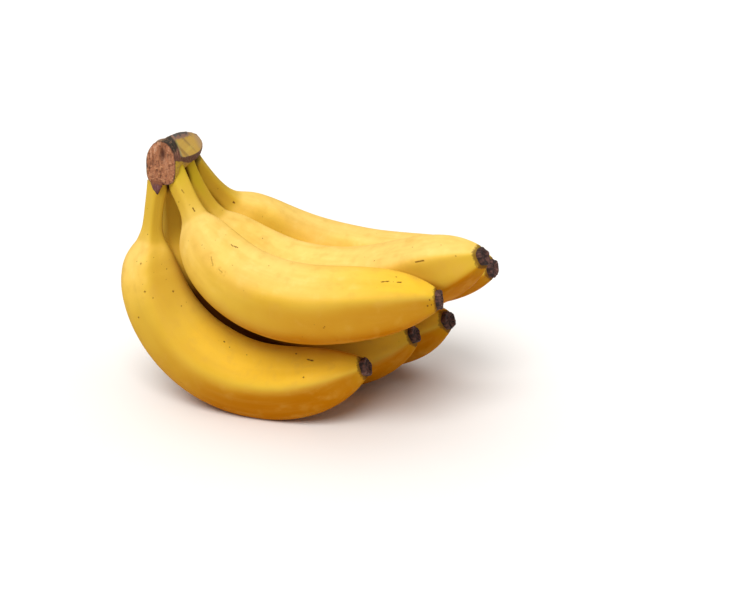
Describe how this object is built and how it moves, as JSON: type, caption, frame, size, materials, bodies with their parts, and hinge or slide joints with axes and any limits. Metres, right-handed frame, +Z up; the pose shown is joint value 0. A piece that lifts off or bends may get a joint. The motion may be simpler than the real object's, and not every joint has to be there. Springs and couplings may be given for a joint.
{
  "type": "bunch of bananas",
  "caption": "A hand of ripe yellow bananas in two rows on one dried crown, lying on its lower row, with dried flower ends on the fruit",
  "frame": {"origin": "on the surface the bunch lies on, under the middle of its bounding box", "axes": "+X is the way the fruit tips point, along the bunch's longest side; +Y is away from the viewer of the picture, across the rows; +Z is up"},
  "size_m": [0.1813, 0.1222, 0.134],
  "materials": {
    "crown": "dry, fibrous cut stalk, brown, with a trimmed yellow-green side",
    "peel": "ripe banana peel, soft waxy sheen, small brown specks",
    "dried_flower": "dry, rough, dark brown"
  },
  "bodies": {
    "root": {"crown": "crown", "banana_low_front": "peel", "banana_low_middle": "peel", "banana_low_back": "peel", "banana_high_front": "peel", "banana_high_middle": "peel", "banana_high_back": "peel", "tip_low_front": "dried_flower", "tip_low_middle": "dried_flower", "tip_low_back": "dried_flower", "tip_high_front": "dried_flower", "tip_high_middle": "dried_flower", "tip_high_back": "dried_flower"}
  },
  "joints": []
}
